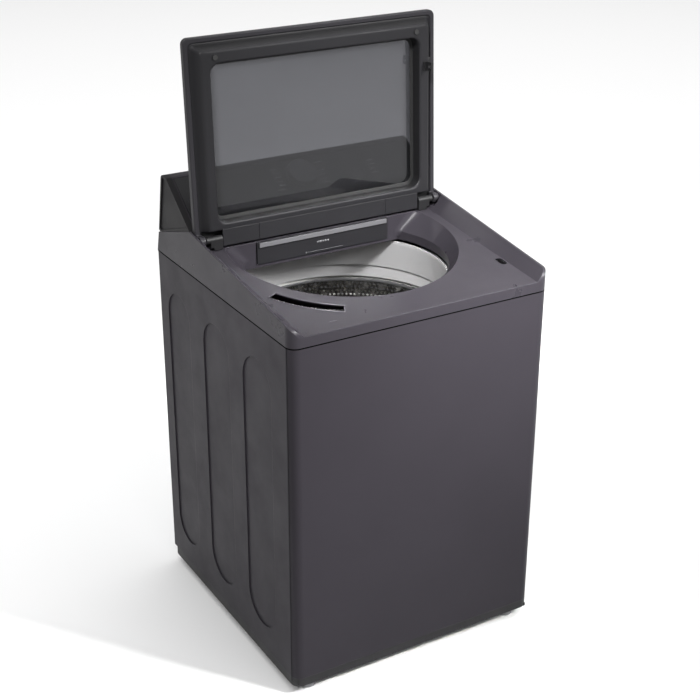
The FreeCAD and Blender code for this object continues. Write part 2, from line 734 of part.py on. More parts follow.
def make_suspension():
    """Four hanging rods with their corner plates, and the springs that carry the tub's ears."""
    rods, plates, springs = [], [], []
    spring_low, spring_high = 174.3, 299.7
    turns, wire, spring_radius = 8, 2.5, 17
    for side, end in CORNERS.values():
        x, y = side * D["rod_x"], end * D["rod_y"]
        rods.append(fuse(
            cylinder(D["rod_radius"], x, y, 168, 730),
            cylinder(11, x, y, 892.2, 8),
            cylinder(24, x, y, 168, 6)))
        near_x, far_x = sorted((side * 225.0, side * 335.0))
        near_y, far_y = sorted((end * 230.0, end * 338.0))
        plates.append(cut(box((near_x, far_x), (near_y, far_y), (888, 892)),
                          cylinder(D["rod_radius"] + 0.5, x, y, 880, 20)))
        pitch = (spring_high - spring_low - 2 * wire) / turns
        helix = Part.makeHelix(pitch, pitch * turns, spring_radius)
        section = Part.Wire([Part.makeCircle(wire, VECTOR(spring_radius, 0, 0), Y_AXIS)])
        coil = Part.Wire(helix).makePipeShell([section], True, True)
        coil.translate(VECTOR(number(x), number(y), spring_low + wire))
        springs.append(coil)
    keep("suspension_rods", group(*rods))
    keep("corner_plates", group(*plates))
    spring_set = doc.addObject("Part::Feature", "springs")
    spring_set.Shape = Part.makeCompound(springs)
    keep("suspension_springs", spring_set)


def make_basket():
    radius, low, top = D["basket_radius"], D["basket_bottom"], D["basket_top"]
    tube_radius = D["tube_radius"]
    keep("wash_basket", revolved([
        (200, low), (radius, low), (radius, top), (radius - 1, top), (radius - 1, low + 2), (200, low + 2)]))
    keep("balance_ring", revolved([
        (248, 760), (251, 752.3), (radius, 752.3), (radius, 779), (259, 784), (251, 784), (248, 781)]))
    keep("basket_hub", revolved([
        (D["shaft_radius"] + D["play"], 96), (tube_radius, 96), (tube_radius, 226), (40, 226), (66, low - 6),
        (252, low - 6), (252, 246), (258, 246), (258, low), (D["shaft_radius"] + D["play"], low)]))
    bore = tube_radius + D["play"]
    keep("clutch_coupler", fuse(tube(30, bore, 0, 0, 109, 12), tube(34, bore, 0, 0, 113, 4)))


def make_drive():
    """Wash plate, drive shaft and rotor, which turn as one inside the basket's hollow shaft."""
    shaft = D["shaft_radius"]
    plate = revolved([
        (shaft, 263), (24, 263), (24, 296), (58, 291), (150, 274.5), (228, 271), (230, 266), (236, 267),
        (239, 272), (236, 277), (150, 280), (60, 297), (30, 312), (0, 314), (0, 292), (shaft, 292)])
    fins = []
    for step in range(6):
        fins.append(turned_about_z(box((55, 225), (-7, 7), (0, 30)), 0, 0, 274, step * 60))
    crown = common(fuse(*fins), revolved([
        (0, 262), (230, 262), (222, 282), (150, 300), (60, 302), (0, 302)]))
    keep("impeller", fuse(plate, crown))
    keep("drive_shaft", cylinder(shaft, 0, 0, 66, 226))
    keep("motor_rotor", revolved([
        (shaft, 70), (22, 70), (22, 76), (138, 76), (138, 126), (129, 126), (129, 82), (22, 82), (22, 92),
        (shaft, 92)]))


def make_drain():
    """The pump on its shelf, its impeller, the bellows from the tub and the hose up to the port."""
    x, y = D["pump_x"], D["pump_y"]
    low = 38.2
    volute = 34
    body = fuse(
        cylinder(24, x, y, low, 40), cylinder(volute + 4, x, y, low + 36, 34),
        cylinder(14, x, y, low + 70, 26), cylinder(14, x, y + 20, low + 53, 56, "Y"))
    keep("drain_pump", cut(
        body, cylinder(volute, x, y, low + 40, 26), cylinder(11, x, y, low + 60, 60),
        cylinder(10.5, x, y + 30, low + 53, 60, "Y"), cylinder(3 + D["play"], x, y, low + 10, 40)))
    vanes = [turned_about_z(box((3, 28), (-1.5, 1.5), (0, 18)), x, y, low + 43, step * 60)
             for step in range(6)]
    keep("pump_impeller", fuse(
        cylinder(8, x, y, low + 43, 20), cylinder(3, x, y, low + 12, 40), *vanes))
    bottom, top, rings = low + 96.3, 189.7, 5
    pitch = (top - bottom) / rings
    points = [(12, bottom), (15, bottom)]
    for step in range(rings):
        points += [(19, bottom + pitch * (step + 0.5)), (15, bottom + pitch * (step + 1))]
    points.append((12, top))
    keep("sump_hose", place(revolved(points), x, y, 0))
    keep("drain_hose", drain_hose(number(x), number(y) + 76.3, low + 53))


def drain_hose(x, y, z):
    """The hose from the pump up the back, as straight runs joined by tangent arcs."""
    radius = 14.0
    route = [VECTOR(x, y, z), VECTOR(x, y + 34, z), VECTOR(x, y + 67, z + 19), VECTOR(x + 1, y + 85, z + 52),
             VECTOR(x + 4, y + 86, z + 112), VECTOR(x + 14, y + 82, z + 210), VECTOR(x + 32, y + 74, z + 370),
             VECTOR(x + 54, y + 64, z + 510), VECTOR(x + 60, 296.5, 690),
             VECTOR(x + 60, 296.5, 771.7)]
    edges, start = [], route[0]
    for before, corner, after in zip(route, route[1:], route[2:]):
        into, out = (corner - before), (after - corner)
        turn = into.getAngle(out)
        reach = 0.45 * min(into.Length, out.Length)
        into.normalize()
        out.normalize()
        first, last = corner - into * reach, corner + out * reach
        bend = reach / math.tan(turn / 2)
        print(f"drain hose bend radius {bend:.0f} mm")
        inward = (out - into).normalize()
        middle = corner + inward * (bend / math.cos(turn / 2) - bend)
        edges += [Part.LineSegment(start, first).toShape(), Part.Arc(first, middle, last).toShape()]
        start = last
    edges.append(Part.LineSegment(start, route[-1]).toShape())
    path = Part.Wire(edges)
    section = Part.Wire([Part.makeCircle(radius, route[0], route[1] - route[0])])
    hose = doc.addObject("Part::Feature", "hose")
    hose.Shape = path.makePipeShell([section], True, False)
    expected = math.pi * radius ** 2 * path.Length
    print(f"drain hose volume {hose.Shape.Volume / expected:.3f} of its section times its length")
    return hose


# ---------------------------------------------------------------- build, check and write

def check_document():
    """Stop if any object failed, or a part has no valid shape."""
    failed = [f"{obj.Label} ({obj.TypeId})" for obj in doc.Objects
              if any(word in obj.State for word in ("Invalid", "Error"))]
    if failed:
        raise RuntimeError("these objects failed: " + ", ".join(failed))
    for part in parts:
        if part.Shape.isNull() or not part.Shape.isValid() or part.Shape.Volume <= 0:
            raise RuntimeError(f"{part.Label} has no valid shape")


def write_parts():
    os.makedirs("parts", exist_ok=True)
    for part in parts:
        part.Shape.exportStep(f"parts/{part.Label}.step")
        print(f"{part.Label}: {len(part.Shape.Solids)} solid(s), {part.Shape.Volume / 1000:.1f} cm3")


def main():
    make_base()
    make_feet()
    make_cabinet()
    make_rear_panel()
    make_top_cover()
    make_console()
    make_controls()
    make_water_parts()
    make_drawer()
    make_lid_lock()
    make_hinge_mounts()
    make_lid()
    make_tub()
    make_suspension()
    make_basket()
    make_drive()
    make_drain()
    doc.recompute()
    check_document()
    write_parts()
    print(len(parts), "parts")


main()
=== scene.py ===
"""Looks of the top load washing machine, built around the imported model.

Metres. +Z up from the floor, X to the right, Y to the back.
"""
import json
import math
import bmesh
import bpy
from mathutils import Matrix, Vector


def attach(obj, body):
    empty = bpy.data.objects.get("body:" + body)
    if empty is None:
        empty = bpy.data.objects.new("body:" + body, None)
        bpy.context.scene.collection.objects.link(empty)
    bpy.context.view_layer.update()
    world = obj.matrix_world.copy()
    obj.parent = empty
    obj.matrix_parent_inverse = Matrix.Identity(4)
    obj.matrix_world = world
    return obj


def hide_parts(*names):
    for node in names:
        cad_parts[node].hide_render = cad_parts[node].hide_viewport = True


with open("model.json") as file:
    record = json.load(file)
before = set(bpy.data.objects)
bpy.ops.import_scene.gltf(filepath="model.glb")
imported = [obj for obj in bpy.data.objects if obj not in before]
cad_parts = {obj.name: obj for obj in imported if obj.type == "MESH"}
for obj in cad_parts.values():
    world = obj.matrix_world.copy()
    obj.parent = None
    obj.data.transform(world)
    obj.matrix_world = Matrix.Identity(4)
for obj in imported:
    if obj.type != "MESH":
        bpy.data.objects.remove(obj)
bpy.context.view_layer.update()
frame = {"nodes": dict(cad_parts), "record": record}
nodes = frame["nodes"]
MM = 0.001
node_slot = {row["node"]: row["material_slot"] for row in frame["record"]["subparts"]}


# ---------------------------------------------------------------- materials

FINE = 0.00001

class Nodes:
    """A material's node tree, with short ways to add and link nodes."""

    def __init__(self, name):
        self.material = bpy.data.materials.new(name)
        self.material.use_nodes = True
        self.tree = self.material.node_tree
        self.shader = self.tree.nodes["Principled BSDF"]
        self.coords = self.tree.nodes.new("ShaderNodeTexCoord").outputs["Object"]

    def add(self, kind, **values):
        node = self.tree.nodes.new(kind)
        for key, value in values.items():
            setattr(node, key, value)
        return node

    def link(self, output, node, socket):
        self.tree.links.new(output, node.inputs[socket])

    def noise(self, scale, detail=3.0, rough=0.55, stretch=None):
        node = self.add("ShaderNodeTexNoise")
        node.inputs["Scale"].default_value = scale
        node.inputs["Detail"].default_value = detail
        node.inputs["Roughness"].default_value = rough
        source = self.coords
        if stretch:
            mapping = self.add("ShaderNodeMapping")
            mapping.inputs["Scale"].default_value = stretch
            self.link(source, mapping, "Vector")
            source = mapping.outputs["Vector"]
        self.link(source, node, "Vector")
        return node.outputs["Fac"]

    def ranged(self, output, low, high, to_low, to_high):
        node = self.add("ShaderNodeMapRange")
        for key, value in (("From Min", low), ("From Max", high), ("To Min", to_low), ("To Max", to_high)):
            node.inputs[key].default_value = value
        self.link(output, node, "Value")
        return node.outputs["Result"]

    def edges(self, radius):
        """1 along the edges of the shape and 0 on its flats."""
        bevel = self.add("ShaderNodeBevel", samples=4)
        bevel.inputs["Radius"].default_value = radius
        geometry = self.add("ShaderNodeNewGeometry")
        dot = self.add("ShaderNodeVectorMath", operation="DOT_PRODUCT")
        self.link(bevel.outputs["Normal"], dot, 0)
        self.link(geometry.outputs["Normal"], dot, 1)
        return self.ranged(dot.outputs["Value"], 0.99, 0.8, 0.0, 1.0)

    def mixed(self, factor, first, second):
        """Colours or colour outputs mixed by a factor output."""
        node = self.add("ShaderNodeMix", data_type="RGBA")
        self.link(factor, node, "Factor")
        for socket, value in ((6, first), (7, second)):
            if isinstance(value, tuple):
                node.inputs[socket].default_value = (*value, 1.0)
            else:
                self.link(value, node, socket)
        return node.outputs[2]

    def bump(self, output, distance, strength=1.0, normal=None):
        node = self.add("ShaderNodeBump")
        node.inputs["Distance"].default_value = distance
        node.inputs["Strength"].default_value = strength
        self.link(output, node, "Height")
        if normal is not None:
            self.link(normal, node, "Normal")
        return node.outputs["Normal"]

    def math(self, operation, first, second):
        node = self.add("ShaderNodeMath", operation=operation)
        for socket, value in ((0, first), (1, second)):
            if isinstance(value, (int, float)):
                node.inputs[socket].default_value = value
            else:
                self.link(value, node, socket)
        return node.outputs[0]


def scaled(color, factor):
    return tuple(min(1.0, c * factor) for c in color)


def finish(name, color, rough, *, grain=700.0, grain_depth=0.00003, spread=0.08, wear_and_highlight=0.25,
           wear_and_highlight_radius=0.0015, metallic=0.0, specular=0.5, stretch=None, rough_spread=0.07, soft=0.0012):
    """A solid finish: cloudy colour, fine grain, edges lightened both as wear and as a painted highlight,
    and an uneven gloss.
    """
    n = Nodes(name)
    s = n.shader
    clouds = n.noise(5.0, 4.0)
    fine = n.noise(grain, 2.0, 0.5, stretch)
    low, high = scaled(color, 1 - spread), scaled(color, 1 + spread)
    tone = n.mixed(n.ranged(clouds, 0.3, 0.7, 0.0, 1.0), low, high)
    speck = n.mixed(n.ranged(fine, 0.35, 0.7, 0.0, 0.35), tone, scaled(color, 1.35))
    # Lighter edges: partly wear, partly a painted highlight where rounded edges would catch the light.
    patches = n.ranged(n.noise(40.0, 4.0), 0.35, 0.65, 0.3 * wear_and_highlight, wear_and_highlight)
    worn_and_lit_edges = n.math("MULTIPLY", n.edges(wear_and_highlight_radius), patches)
    n.link(n.mixed(worn_and_lit_edges, speck, scaled(color, 2.6)), s, "Base Color")
    smudge = n.ranged(n.noise(9.0, 5.0, 0.65), 0.3, 0.7, rough - rough_spread, rough + rough_spread)
    n.link(smudge, s, "Roughness")
    rounded = n.add("ShaderNodeBevel", samples=6)
    rounded.inputs["Radius"].default_value = soft
    waves = n.bump(clouds, 0.0002, 0.12, rounded.outputs["Normal"])
    n.link(n.bump(fine, grain_depth, 0.6, waves), s, "Normal")
    s.inputs["Metallic"].default_value = metallic
    s.inputs["Specular IOR Level"].default_value = specular
    return n.material


# The painted shade round the edge of the lid's glass, standing in for the frame's shadow and reflection:
# where it starts and ends from the middle of the window.
PAINTED_SHADE_ACROSS = (0.250, 0.279)
PAINTED_SHADE_UP = (0.163, 0.186)
WINDOW_MIDDLE_Z = 1.2275


def glass(name, color, rough):
    """Tinted glass with a dark border that fades in towards the window: painted shade for the frame's shadow
    and reflection on the glass.
    """
    n = Nodes(name)
    s = n.shader
    parts = n.add("ShaderNodeSeparateXYZ")
    n.link(n.coords, parts, "Vector")
    across = n.ranged(n.math("ABSOLUTE", parts.outputs["X"], 0.0), *PAINTED_SHADE_ACROSS, 0.0, 1.0)
    height = n.math("ABSOLUTE", n.math("SUBTRACT", parts.outputs["Z"], WINDOW_MIDDLE_Z), 0.0)
    painted_shade = n.math("MAXIMUM", across, n.ranged(height, *PAINTED_SHADE_UP, 0.0, 1.0))
    haze = n.ranged(n.noise(6.0, 4.0), 0.3, 0.7, 0.0, 1.0)
    clear = n.mixed(haze, scaled(color, 0.96), scaled(color, 1.04))
    # Darker towards the edges of the window: painted shade.
    n.link(n.mixed(painted_shade, clear, scaled(color, 0.25)), s, "Base Color")
    n.link(n.ranged(n.noise(12.0, 5.0), 0.3, 0.7, rough * 0.5, rough), s, "Roughness")
    s.inputs["Transmission Weight"].default_value = 0.93
    s.inputs["IOR"].default_value = 1.45
    return n.material


MATERIALS = {
    "graphite_paint": finish("graphite_paint", (0.0225, 0.0202, 0.0247), 0.42, grain=1500, grain_depth=FINE,
                             specular=0.09, wear_and_highlight=0.10, spread=0.05, soft=0.0022),
    "black_band": finish("black_band", (0.007, 0.0068, 0.0075), 0.5, grain=900, specular=0.3, wear_and_highlight=0.3),
    "cover_plastic": finish("cover_plastic", (0.0240, 0.0217, 0.0265), 0.32, grain=1600, grain_depth=FINE,
                            specular=0.12, wear_and_highlight=0.6, spread=0.05, soft=0.002, wear_and_highlight_radius=0.002),
    "black_gloss": finish("black_gloss", (0.0035, 0.0035, 0.0045), 0.2, grain=300, grain_depth=0.000002,
                          specular=0.2, wear_and_highlight=0.2, rough_spread=0.05),
    "tinted_glass": glass("tinted_glass", (0.125, 0.126, 0.138), 0.02),
    "frame_plastic": finish("frame_plastic", (0.0105, 0.0102, 0.0117), 0.5, grain=1300, grain_depth=0.00002,
                            specular=0.2, wear_and_highlight=0.2),
    "light_plastic": finish("light_plastic", (0.31, 0.307, 0.31), 0.36, grain=1100, grain_depth=FINE,
                            wear_and_highlight=0.05, spread=0.04),
    "pale_plastic": finish("pale_plastic", (0.55, 0.55, 0.53), 0.5, grain=800, wear_and_highlight=0.05, spread=0.05),
    "stainless": finish("stainless", (0.50, 0.49, 0.47), 0.24, metallic=1.0, grain=260, grain_depth=0.00003,
                        stretch=(1.0, 1.0, 9.0), wear_and_highlight=0.2, soft=0.0006),
    "zinc_steel": finish("zinc_steel", (0.45, 0.46, 0.47), 0.34, metallic=1.0, grain=500, wear_and_highlight=0.15),
    "bright_trim": finish("bright_trim", (0.17, 0.17, 0.175), 0.42, metallic=1.0, grain=400,
                          grain_depth=0.000004, wear_and_highlight=0.1, rough_spread=0.04),
    "cast_aluminium": finish("cast_aluminium", (0.46, 0.47, 0.49), 0.52, metallic=1.0, grain=420,
                             grain_depth=0.00012, wear_and_highlight=0.2),
    "black_rubber": finish("black_rubber", (0.011, 0.011, 0.011), 0.7, grain=900, grain_depth=0.00005,
                           wear_and_highlight=0.3),
    "grey_rubber": finish("grey_rubber", (0.20, 0.20, 0.205), 0.7, grain=900, grain_depth=0.00005, wear_and_highlight=0.2),
    "circuit_green": finish("circuit_green", (0.02, 0.14, 0.05), 0.35, grain=240, spread=0.2),
    "copper_core": finish("copper_core", (0.50, 0.24, 0.12), 0.36, metallic=1.0, grain=600,
                          stretch=(1.0, 1.0, 12.0), grain_depth=0.00012, spread=0.15),
    "galvanised": finish("galvanised", (0.42, 0.43, 0.45), 0.42, metallic=1.0, grain=60,
                         grain_depth=0.00002, spread=0.2, wear_and_highlight=0.1),
}

# Finishes for single pieces, whose slot's own finish would be too light, too dark or too even.
MARK = finish("printed_mark", (0.10, 0.10, 0.105), 0.5, grain=900, wear_and_highlight=0.05)
BASKET_STEEL = finish("basket_steel", (0.42, 0.41, 0.395), 0.2, metallic=1.0, grain=500, wear_and_highlight=0.25,
                      soft=0.0003)
LID_PAINT = finish("lid_paint", (0.0185, 0.0176, 0.0204), 0.42, grain=1500, grain_depth=FINE,
                   specular=0.18, wear_and_highlight=0.15, soft=0.0015)
HANDLE = finish("handle_strip", (0.085, 0.084, 0.09), 0.5, grain=900, grain_depth=FINE, specular=0.3,
                wear_and_highlight=0.2)
KNOB = finish("knob_face", (0.075, 0.075, 0.08), 0.35, grain=900, grain_depth=FINE, specular=0.4, wear_and_highlight=0.6)
CAP = finish("cap_plastic", (0.0105, 0.0100, 0.0108), 0.45, grain=1300, grain_depth=FINE, specular=0.10,
             wear_and_highlight=0.12)
CONSOLE_MARK = finish("console_mark", (0.70, 0.70, 0.71), 0.5, grain=900, wear_and_highlight=0.05)
SEAM_SHADOW = finish("seam_shadow", (0.0015, 0.0015, 0.0015), 0.9, grain=900, wear_and_highlight=0.0, specular=0.0)
# Glossy plastic for the slot's lip, lighter than the deck's plastic as a painted highlight along the lip.
LIP_GLOSS_AND_HIGHLIGHT = finish("slot_lip", (0.060, 0.056, 0.066), 0.2, grain=900, wear_and_highlight=0.3, soft=0.0004)
# The balance rim, darkened from its slot's light plastic as painted shade for the shadow under the lip.
RIM_PAINTED_SHADE = finish("rim_painted_shade", (0.05, 0.05, 0.052), 0.3, grain=900, wear_and_highlight=0.2)

for name, node in nodes.items():
    node.data.materials.clear()
    node.data.materials.append(MATERIALS[node_slot[name]])
for name, override in (("drawer_handle", HANDLE), ("control_knob", KNOB), ("console_cap_left", CAP),
                       ("console_cap_right", CAP)):
    nodes[name].data.materials[0] = override


# ---------------------------------------------------------------- piece helpers

def piece(name, mesh, slot, body, *replaced, material=None):
    """A smooth shaded mesh that rides on a body and may stand in for CAD nodes."""
    obj = bpy.data.objects.new(name, mesh)
    bpy.context.scene.collection.objects.link(obj)
    mesh.materials.clear()
    mesh.materials.append(material or MATERIALS[slot])
    for polygon in mesh.polygons:
        polygon.use_smooth = True
    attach(obj, body)
    if replaced:
        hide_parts(*replaced)
    return obj


def weighted(obj):
    """Gives even shading across flats and the rounds between them."""
    shade = obj.modifiers.new("shade", "WEIGHTED_NORMAL")
    shade.mode = "FACE_AREA_WITH_ANGLE"
    shade.weight = 90
    shade.keep_sharp = True


def mesh_of(bm, name):
    mesh = bpy.data.meshes.new(name)
    bmesh.ops.recalc_face_normals(bm, faces=bm.faces)
    bm.to_mesh(mesh)
    bm.free()
    return mesh


# ---------------------------------------------------------------- rounded loops, swept into shells

def loop_points(half, front, back, front_round, back_round, front_z, back_z, steps=9):
    """A rounded rectangle seen from above, from the front right corner round to the front left."""
    points = []
    for corner_x, corner_y, radius, start in (
            (half, front, front_round, -90), (half, back, back_round, 0),
            (-half, back, back_round, 90), (-half, front, front_round, 180)):
        centre_x = corner_x - math.copysign(radius, corner_x)
        centre_y = corner_y - (radius if corner_y == back else -radius)
        for i in range(steps + 1):
            angle = math.radians(start + 90 * i / steps)
            y = centre_y + radius * math.sin(angle)
            share = (y - front) / (back - front)
            z = front_z + (back_z - front_z) * share
            points.append(Vector((centre_x + radius * math.cos(angle), y, z)))
    return points


def soft_profile(rows, cuts, steps=5):
    """Rows of loop sizes with each inner row's corner rounded off over a distance."""
    rounded = [rows[0]]
    for before, here, after, reach in zip(rows, rows[1:], rows[2:], cuts):
        if reach == 0:
            rounded.append(here)
            continue
        ends = []
        for other in (before, after):
            gap = (math.dist((here[0], here[5]), (other[0], other[5]))
                   or math.dist((here[1], here[5]), (other[1], other[5])))
            share = min(0.49, reach / gap)
            ends.append([a + (b - a) * share for a, b in zip(here, other)])
        for i in range(steps + 1):
            u = i / steps
            rounded.append([(1 - u) ** 2 * a + 2 * u * (1 - u) * h + u ** 2 * b
                            for a, h, b in zip(ends[0], here, ends[1])])
    rounded.append(rows[-1])
    return rounded


def swept(bm, rows, place):
    """Quads between successive loops, placed by a matrix; millimetres in, metres out."""
    loops = [[bm.verts.new(place @ (p * MM)) for p in loop_points(*row)] for row in rows]
    for one, two in zip(loops, loops[1:]):
        for i in range(len(one)):
            j = (i + 1) % len(one)
            bm.faces.new((one[i], one[j], two[j], two[i]))


def lathe(bm, profile, steps, place, start=0.0, sweep=360.0, closed=True):
    """A profile of (radius, height) pairs turned about Z."""
    count = steps if sweep == 360.0 else steps + 1
    rings = []
    for i in range(count):
        a = math.radians(start + sweep * i / steps)
        rings.append([bm.verts.new(place @ (Vector((r * math.cos(a), r * math.sin(a), z)) * MM))
                      for r, z in profile])
    pairs = len(profile) if closed else len(profile) - 1
    for i in range(steps):
        one, two = rings[i], rings[(i + 1) % count]
        for k in range(pairs):
            m = (k + 1) % len(profile)
            bm.faces.new((one[k], one[m], two[m], two[k]))


LID = Matrix.Translation((0, 0.116, 1.003)) @ Matrix.Rotation(math.radians(-92.9), 4, "X")
CONSOLE = Matrix.Translation((0, 0.152, 1.022)) @ Matrix.Rotation(math.radians(37.2), 4, "X")
ALONG_X = Matrix.Rotation(math.radians(90), 4, "Y")


# ---------------------------------------------------------------- lid

def lid_shell():
    """The painted pan of the lid: a lip that curls in, rounded walls and a flush window edge."""
    bm = bmesh.new()
    rows = [
        (314, -449.5, 10, 9, 4, 19.5, 19.5),
        (325, -460.5, 11.5, 11, 4, 17.5, 17.5),
        (325, -460.5, 11.5, 11, 4, 14.0, 14.0),
        (336.5, -472, 14, 15, 5, 14.0, 14.0),
        (336.5, -472, 14, 15, 5, 32.0, 32.0),
        (286.3, -418.3, -32.7, 5, 5, 32.0, 32.0),
        (286.3, -418.3, -32.7, 5, 5, 28.2, 28.2),
        (290, -422, -29, 8, 8, 28.2, 28.2),
    ]
    swept(bm, soft_profile(rows, (0.5, 1.6, 3.5, 4.5, 1.2, 0)), LID)
    for x in (320, -334):
        lathe(bm, [(4.0, 0), (4.0, 14), (10.8, 14), (12, 12.8), (12, 1.2), (10.8, 0)], 40,
              LID @ Matrix.Translation((x * MM, 0, 0)) @ ALONG_X)
        leg = [(7, -12, 12, 1.5, 1.5, 17, 17), (7, -12, 12, 1.5, 1.5, 2, 2), (5, -10, 10, 1.5, 1.5, 1, 1)]
        swept(bm, soft_profile(leg, (1,)), LID @ Matrix.Translation(((x + 7) * MM, 0, 0)))
    obj = piece("lid_shell_painted", mesh_of(bm, "lid_shell"), "graphite_paint", "lid", "lid_outer_shell",
                material=LID_PAINT)
    weighted(obj)


def lid_liner():
    """The moulded inner frame: valley behind the rim, raised face, and the deep well down to the glass."""
    bm = bmesh.new()
    rows = [
        (333, -468, 12, 12, 4, 19.5, 19.5),
        (324, -459, -16.5, 11, 4, 18.5, 18.5),
        (317, -453, -17.0, 10, 4, 15.0, 15.0),
        (306, -443, -20.0, 12, 4, -8.5, -4.0),
        (284.5, -415.5, -33.5, 27, 27, -8.2, -4.2),
        (281.0, -412.0, -37.0, 25, 25, -4.5, -1.0),
        (281.0, -412.0, -37.0, 25, 25, 26.0, 26.0),
        (283.0, -414.0, -35.0, 27, 27, 27.0, 27.0),
    ]
    swept(bm, soft_profile(rows, (6, 10, 5.5, 2.5, 2.0, 0)), LID)
    obj = piece("lid_liner_moulded", mesh_of(bm, "lid_liner"), "frame_plastic", "lid", "lid_inner_frame")
    obj.data.materials.append(MATERIALS["black_band"])
    # The walls of the deep well take the near-black band finish: painted shade for the shadow inside the
    # well.
    to_lid = LID.inverted()
    for face in obj.data.polygons:
        centre = to_lid @ face.center
        if abs(centre.x) < 0.2835 and centre.z > 0.001:
            face.material_index = 1
    bm = bmesh.new()
    plate(bm, (307, -357, 14.2), (327, -328, 18.2), LID, 0.8)
    piece("strike_seat", mesh_of(bm, "strike_seat"), "black_band", "lid")
    weighted(obj)


def plate(bm, low, high, place, edge=0.6, segments=2):
    """A thin moulded block between two corners in millimetres, with rounded edges."""
    verts = bmesh.ops.create_cube(bm, size=1)["verts"]
    size = [b - a for a, b in zip(low, high)]
    for v in verts:
        v.co = Vector([a + (c + 0.5) * s for a, c, s in zip(low, v.co, size)]) * MM
    edges = {e for v in verts for e in v.link_edges}
    made = bmesh.ops.bevel(bm, geom=list(edges), offset=edge * MM, segments=segments, profile=0.5,
                           affect="EDGES", clamp_overlap=True)
    for v in {v for f in made["faces"] for v in f.verts} | {v for v in verts if v.is_valid}:
        v.co = place @ v.co


def lid_apron():
    """The hinge cover under the window: a long plate in three lengths, with a lip behind it."""
    bm = bmesh.new()
    for low_x, high_x in ((-273.5, -177.6), (-177, 177), (177.6, 273.5)):
        plate(bm, (low_x, -22.2, -4.3), (high_x, 19, -1), LID, 1.0)
        plate(bm, (low_x, -23.5, -3.5), (high_x, -20.6, 13.5), LID, 0.6)
    weighted(piece("lid_apron_moulded", mesh_of(bm, "lid_apron"), "frame_plastic", "lid"))


lid_shell()
lid_liner()
lid_apron()


# ---------------------------------------------------------------- top cover

DECK_FRONT_Y, DECK_FRONT_Z = -0.350, 0.936
DECK_SLOPE = math.tan(math.radians(5.14))
# The dish round the tub's mouth: its radius at the foot, and the height from which it opens out.
DISH_RADIUS, DISH_FLARE_Z = 247, 932
DRAWER_WALL_Y = 115
COVE_FOOT_Z, COVE_TOP_Z = 918.5, 976.4
# The bleach slot is a bent one: inner and outer radius, then the angles of its two ends.
SLOT = (305.6, 336.4, 208.1, 238.9)
# Half the width over the seams, just proud of the cabinet's sides.
SEAM_HALF = 343.15
DIMPLE_X, DIMPLE_Y = -0.2195, -0.316


def deck(y):
    """The height of the sloping deck at a distance back, in metres."""
    return DECK_FRONT_Z + (y - DECK_FRONT_Y) * DECK_SLOPE


def cove(side):
    """The glossy hollow that rounds the corner between the drawer wall and the tub dish."""
    bm = bmesh.new()
    steps = 12
    rows = []
    for k in range(steps + 1):
        share = k / steps
        z = COVE_FOOT_Z + (COVE_TOP_Z - COVE_FOOT_Z) * k / steps
        radius = DISH_RADIUS + max(0.0, z - DISH_FLARE_Z) - 0.4
        wall = DRAWER_WALL_Y - 0.35
        corner = math.sqrt(radius ** 2 - wall ** 2)
        angle = math.atan2(wall, corner) - (10 + 18 * share) / radius
        start = Vector((corner - 12 - 20 * share, wall))
        end = Vector((radius * math.cos(angle), radius * math.sin(angle)))
        middle = Vector((corner, wall))
        row = []
        for i in range(steps + 1):
            u = i / steps
            p = start * (1 - u) ** 2 + middle * 2 * u * (1 - u) + end * u ** 2
            row.append(bm.verts.new(Vector((side * p.x, p.y, z)) * MM))
        rows.append(row)
    for one, two in zip(rows, rows[1:]):
        for i in range(steps):
            bm.faces.new((one[i], one[i + 1], two[i + 1], two[i]))
    hand = "right" if side > 0 else "left"
    piece("cover_cove_" + hand, mesh_of(bm, "cove"), "cover_plastic", "housing")


cove(1)
cove(-1)


def bead(bm, path, radius, sides=8):
    """A thin round bead along a closed path of points in metres."""
    rings = []
    count = len(path)
    for i, p in enumerate(path):
        ahead = (path[(i + 1) % count] - path[(i - 1) % count]).normalized()
        out = ahead.cross(Vector((0, 0, 1))).normalized()
        over = out.cross(ahead).normalized()
        rings.append([bm.verts.new(p + (out * math.cos(a) + over * math.sin(a)) * radius)
                      for a in (2 * math.pi * k / sides for k in range(sides))])
    for i in range(count):
        one, two = rings[i], rings[(i + 1) % count]
        for k in range(sides):
            m = (k + 1) % sides
            bm.faces.new((one[k], one[m], two[m], two[k]))


def slot_path(inner, outer, start, end, lift):
    """The outline of the bleach slot, lying on the deck."""
    points = []
    for radius, first, last in ((outer, start, end), (inner, end, start)):
        for i in range(25):
            a = math.radians(first + (last - first) * i / 24)
            x, y = radius * math.cos(a) * MM, radius * math.sin(a) * MM
            points.append(Vector((x, y, deck(y) + lift)))
    return points


